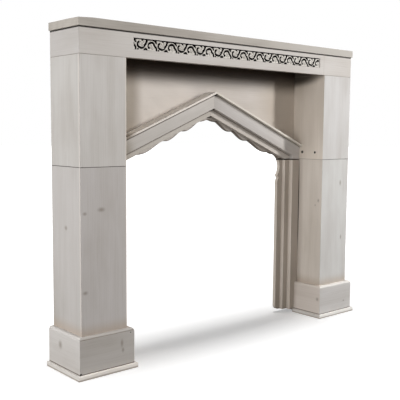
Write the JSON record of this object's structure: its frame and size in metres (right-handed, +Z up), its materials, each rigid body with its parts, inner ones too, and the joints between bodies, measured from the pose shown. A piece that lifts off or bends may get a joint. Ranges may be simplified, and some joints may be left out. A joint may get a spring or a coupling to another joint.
{
  "type": "fireplace mantel",
  "caption": "Whitewashed pine fire surround with box legs, stepped plinths, a frieze with a carved scroll, a shelf and a scalloped pointed arch in a set-back panel.",
  "frame": {"origin": "middle of the underside of the mantel's overall box", "axes": "+X along the shelf to the right as seen from the room, +Y towards the wall, +Z up"},
  "size_m": [1.48, 0.219, 1.2],
  "materials": {
    "limewashed_pine": "limewashed softwood, matt, with faint vertical or lengthwise grain and a few small knots",
    "carved_pine": "pale limewashed carving, matt",
    "black_ground": "black-stained ground behind the carving, matt"
  },
  "bodies": {
    "root": {"shelf": "limewashed_pine", "frieze_front": "limewashed_pine", "frieze_return_left": "limewashed_pine", "frieze_return_right": "limewashed_pine", "scroll_strip": "carved_pine", "scroll_ground": "black_ground", "upper_leg_front_left": "limewashed_pine", "upper_leg_outer_left": "limewashed_pine", "upper_leg_inner_left": "limewashed_pine", "upper_leg_front_right": "limewashed_pine", "upper_leg_outer_right": "limewashed_pine", "upper_leg_inner_right": "limewashed_pine", "lower_leg_front_left": "limewashed_pine", "lower_leg_outer_left": "limewashed_pine", "lower_leg_inner_left": "limewashed_pine", "lower_leg_front_right": "limewashed_pine", "lower_leg_outer_right": "limewashed_pine", "lower_leg_inner_right": "limewashed_pine", "plinth_front_left": "limewashed_pine", "plinth_outer_left": "limewashed_pine", "plinth_inner_left": "limewashed_pine", "plinth_front_right": "limewashed_pine", "plinth_outer_right": "limewashed_pine", "plinth_inner_right": "limewashed_pine", "base_front_left": "limewashed_pine", "base_outer_left": "limewashed_pine", "base_inner_left": "limewashed_pine", "base_front_right": "limewashed_pine", "base_outer_right": "limewashed_pine", "base_inner_right": "limewashed_pine", "back_panel": "limewashed_pine", "jamb_board_left": "limewashed_pine", "jamb_board_right": "limewashed_pine", "arch_step_left": "limewashed_pine", "arch_step_right": "limewashed_pine", "arch_main_left": "limewashed_pine", "arch_main_right": "limewashed_pine", "arch_hood_left": "limewashed_pine", "arch_hood_right": "limewashed_pine", "jamb_step_left": "limewashed_pine", "jamb_step_right": "limewashed_pine", "jamb_main_left": "limewashed_pine", "jamb_main_right": "limewashed_pine"}
  },
  "joints": []
}
